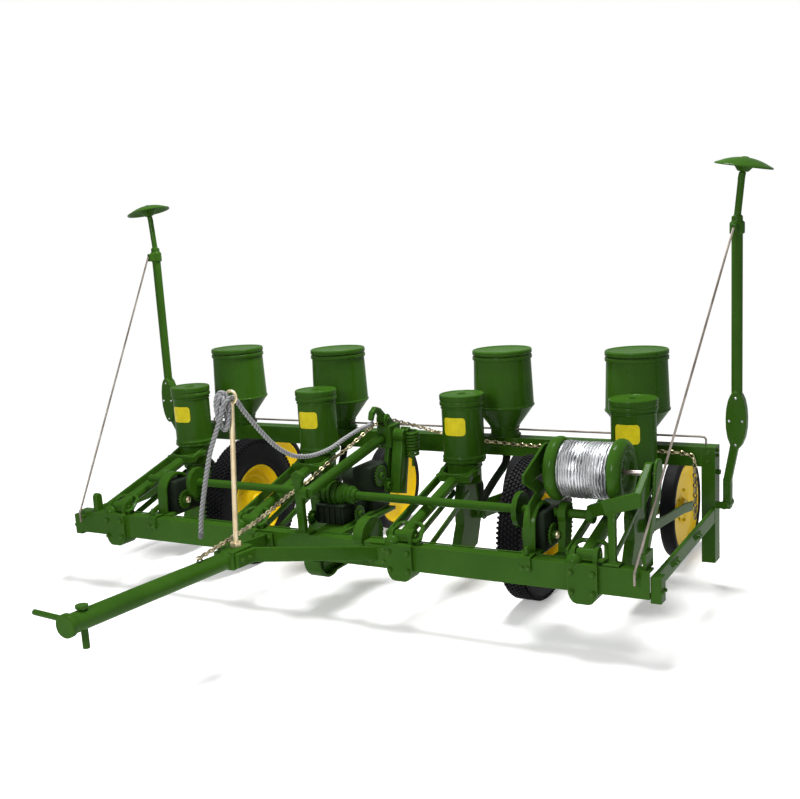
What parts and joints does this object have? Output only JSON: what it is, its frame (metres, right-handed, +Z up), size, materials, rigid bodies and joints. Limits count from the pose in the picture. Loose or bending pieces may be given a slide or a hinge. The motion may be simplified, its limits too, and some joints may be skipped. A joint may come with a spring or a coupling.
{
  "type": "corn planter",
  "caption": "Drawn row-crop planter with front bar, seed and fertilizer hoppers, press wheels, carrying wheels on a lift shaft, folding row markers and a check-wire reel.",
  "frame": {"origin": "on the ground, under the middle of the machine's box", "axes": "+Z up; -Y forward, towards the drawbar; X across the rows"},
  "size_m": [4.3328, 3.873, 2.3484],
  "materials": {
    "green": "gloss enamel",
    "yellow": "gloss enamel",
    "tyre": "matt rubber",
    "steel": "dull wire",
    "brass": "dull brass",
    "rope": "braided cord"
  },
  "bodies": {
    "frame": {"front_bar": "green", "rear_beam": "green", "end_post_left": "green", "end_post_right": "green", "side_brace_left": "green", "side_brace_right": "green", "tongue": "green", "tongue_yoke_left": "green", "tongue_yoke_right": "green", "rope_standard": "brass", "lift_mast": "green", "lift_head": "green", "lift_housing": "green", "reel_bracket_left": "green", "reel_bracket_right": "green", "row_frame_1": "green", "row_frame_2": "green", "row_frame_3": "green", "row_frame_4": "green", "seed_hopper_1": "green", "seed_hopper_2": "green", "seed_hopper_3": "green", "seed_hopper_4": "green", "fertilizer_hopper_1": "green", "fertilizer_hopper_2": "green", "fertilizer_hopper_3": "green", "fertilizer_hopper_4": "green", "trip_rope": "rope"},
    "rockshaft": {"rockshaft_left": "green", "rockshaft_right": "green"},
    "wheel_left": {"tyre_left": "tyre", "rim_left": "yellow"},
    "wheel_right": {"tyre_right": "tyre", "rim_right": "yellow"},
    "press_arm_1": {"press_arm_1": "green"},
    "press_wheel_1": {"press_wheel_1": "yellow"},
    "press_arm_2": {"press_arm_2": "green"},
    "press_wheel_2": {"press_wheel_2": "yellow"},
    "press_arm_3": {"press_arm_3": "green"},
    "press_wheel_3": {"press_wheel_3": "yellow"},
    "press_arm_4": {"press_arm_4": "green"},
    "press_wheel_4": {"press_wheel_4": "yellow"},
    "seed_lid_1": {"seed_lid_1": "green"},
    "fertilizer_lid_1": {"fertilizer_lid_1": "green"},
    "seed_lid_2": {"seed_lid_2": "green"},
    "fertilizer_lid_2": {"fertilizer_lid_2": "green"},
    "seed_lid_3": {"seed_lid_3": "green"},
    "fertilizer_lid_3": {"fertilizer_lid_3": "green"},
    "seed_lid_4": {"seed_lid_4": "green"},
    "fertilizer_lid_4": {"fertilizer_lid_4": "green"},
    "marker_left": {"marker_arm_left": "green", "marker_stay_left": "steel"},
    "marker_disc_left": {"marker_disc_left": "green"},
    "marker_right": {"marker_arm_right": "green", "marker_stay_right": "steel"},
    "marker_disc_right": {"marker_disc_right": "green"},
    "reel": {"reel_spool": "green"},
    "trip_hook": {"trip_hook": "green"},
    "depth_lever": {"depth_lever": "green"},
    "hitch_pin": {"hitch_pin": "green"}
  },
  "joints": [
    {"name": "lift_shaft_turn", "type": "hinge", "parent": "frame", "child": "rockshaft", "pos_m": [0, 0.2135, 0.625], "axis": [1, 0, 0], "range_deg": [0, 20]},
    {"name": "wheel_left_spin", "type": "hinge", "parent": "rockshaft", "child": "wheel_left", "pos_m": [-0.993, 0.6235, 0.407], "axis": [1, 0, 0], "continuous": true},
    {"name": "wheel_right_spin", "type": "hinge", "parent": "rockshaft", "child": "wheel_right", "pos_m": [0.993, 0.6235, 0.407], "axis": [1, 0, 0], "continuous": true},
    {"name": "press_arm_1_float", "type": "hinge", "parent": "frame", "child": "press_arm_1", "pos_m": [-1.524, 0.8385, 0.4], "axis": [1, 0, 0], "range_deg": [-3, 12]},
    {"name": "press_wheel_1_spin", "type": "hinge", "parent": "press_arm_1", "child": "press_wheel_1", "pos_m": [-1.524, 1.6235, 0.313], "axis": [1, 0, 0], "continuous": true},
    {"name": "press_arm_2_float", "type": "hinge", "parent": "frame", "child": "press_arm_2", "pos_m": [-0.508, 0.8385, 0.4], "axis": [1, 0, 0], "range_deg": [-3, 12]},
    {"name": "press_wheel_2_spin", "type": "hinge", "parent": "press_arm_2", "child": "press_wheel_2", "pos_m": [-0.508, 1.6235, 0.313], "axis": [1, 0, 0], "continuous": true},
    {"name": "press_arm_3_float", "type": "hinge", "parent": "frame", "child": "press_arm_3", "pos_m": [0.508, 0.8385, 0.4], "axis": [1, 0, 0], "range_deg": [-3, 12]},
    {"name": "press_wheel_3_spin", "type": "hinge", "parent": "press_arm_3", "child": "press_wheel_3", "pos_m": [0.508, 1.6235, 0.313], "axis": [1, 0, 0], "continuous": true},
    {"name": "press_arm_4_float", "type": "hinge", "parent": "frame", "child": "press_arm_4", "pos_m": [1.524, 0.8385, 0.4], "axis": [1, 0, 0], "range_deg": [-3, 12]},
    {"name": "press_wheel_4_spin", "type": "hinge", "parent": "press_arm_4", "child": "press_wheel_4", "pos_m": [1.524, 1.6235, 0.313], "axis": [1, 0, 0], "continuous": true},
    {"name": "seed_lid_1_lift", "type": "slide", "parent": "frame", "child": "seed_lid_1", "axis": [0, 0, 1], "range_m": [0, 0.12]},
    {"name": "fertilizer_lid_1_lift", "type": "slide", "parent": "frame", "child": "fertilizer_lid_1", "axis": [0, 0, 1], "range_m": [0, 0.12]},
    {"name": "seed_lid_2_lift", "type": "slide", "parent": "frame", "child": "seed_lid_2", "axis": [0, 0, 1], "range_m": [0, 0.12]},
    {"name": "fertilizer_lid_2_lift", "type": "slide", "parent": "frame", "child": "fertilizer_lid_2", "axis": [0, 0, 1], "range_m": [0, 0.12]},
    {"name": "seed_lid_3_lift", "type": "slide", "parent": "frame", "child": "seed_lid_3", "axis": [0, 0, 1], "range_m": [0, 0.12]},
    {"name": "fertilizer_lid_3_lift", "type": "slide", "parent": "frame", "child": "fertilizer_lid_3", "axis": [0, 0, 1], "range_m": [0, 0.12]},
    {"name": "seed_lid_4_lift", "type": "slide", "parent": "frame", "child": "seed_lid_4", "axis": [0, 0, 1], "range_m": [0, 0.12]},
    {"name": "fertilizer_lid_4_lift", "type": "slide", "parent": "frame", "child": "fertilizer_lid_4", "axis": [0, 0, 1], "range_m": [0, 0.12]},
    {"name": "marker_left_fold", "type": "hinge", "parent": "frame", "child": "marker_left", "pos_m": [-1.923, 1.1355, 0.49], "axis": [0.1059, -0.993, -0.0518], "range_deg": [0, 85]},
    {"name": "marker_disc_left_spin", "type": "hinge", "parent": "marker_left", "child": "marker_disc_left", "pos_m": [-2.022, 1.0585, 2.302], "axis": [-0.1942, 0, 0.981], "continuous": true},
    {"name": "marker_right_fold", "type": "hinge", "parent": "frame", "child": "marker_right", "pos_m": [1.923, 1.1355, 0.49], "axis": [0.1059, 0.993, 0.0518], "range_deg": [0, 85]},
    {"name": "marker_disc_right_spin", "type": "hinge", "parent": "marker_right", "child": "marker_disc_right", "pos_m": [2.022, 1.0585, 2.302], "axis": [0.1942, 0, 0.981], "continuous": true},
    {"name": "reel_spin", "type": "hinge", "parent": "frame", "child": "reel", "pos_m": [1.459, 0.2335, 0.853], "axis": [1, 0, 0], "continuous": true},
    {"name": "trip_hook_swing", "type": "hinge", "parent": "frame", "child": "trip_hook", "pos_m": [0.035, 0.6335, 0.985], "axis": [1, 0, 0], "range_deg": [-40, 0]},
    {"name": "depth_lever_swing", "type": "hinge", "parent": "frame", "child": "depth_lever", "pos_m": [1.8, 0.0285, 0.494], "axis": [1, 0, 0], "range_deg": [-25, 20]},
    {"name": "hitch_pin_lift", "type": "slide", "parent": "frame", "child": "hitch_pin", "axis": [0, 0, 1], "range_m": [0, 0.1]}
  ]
}
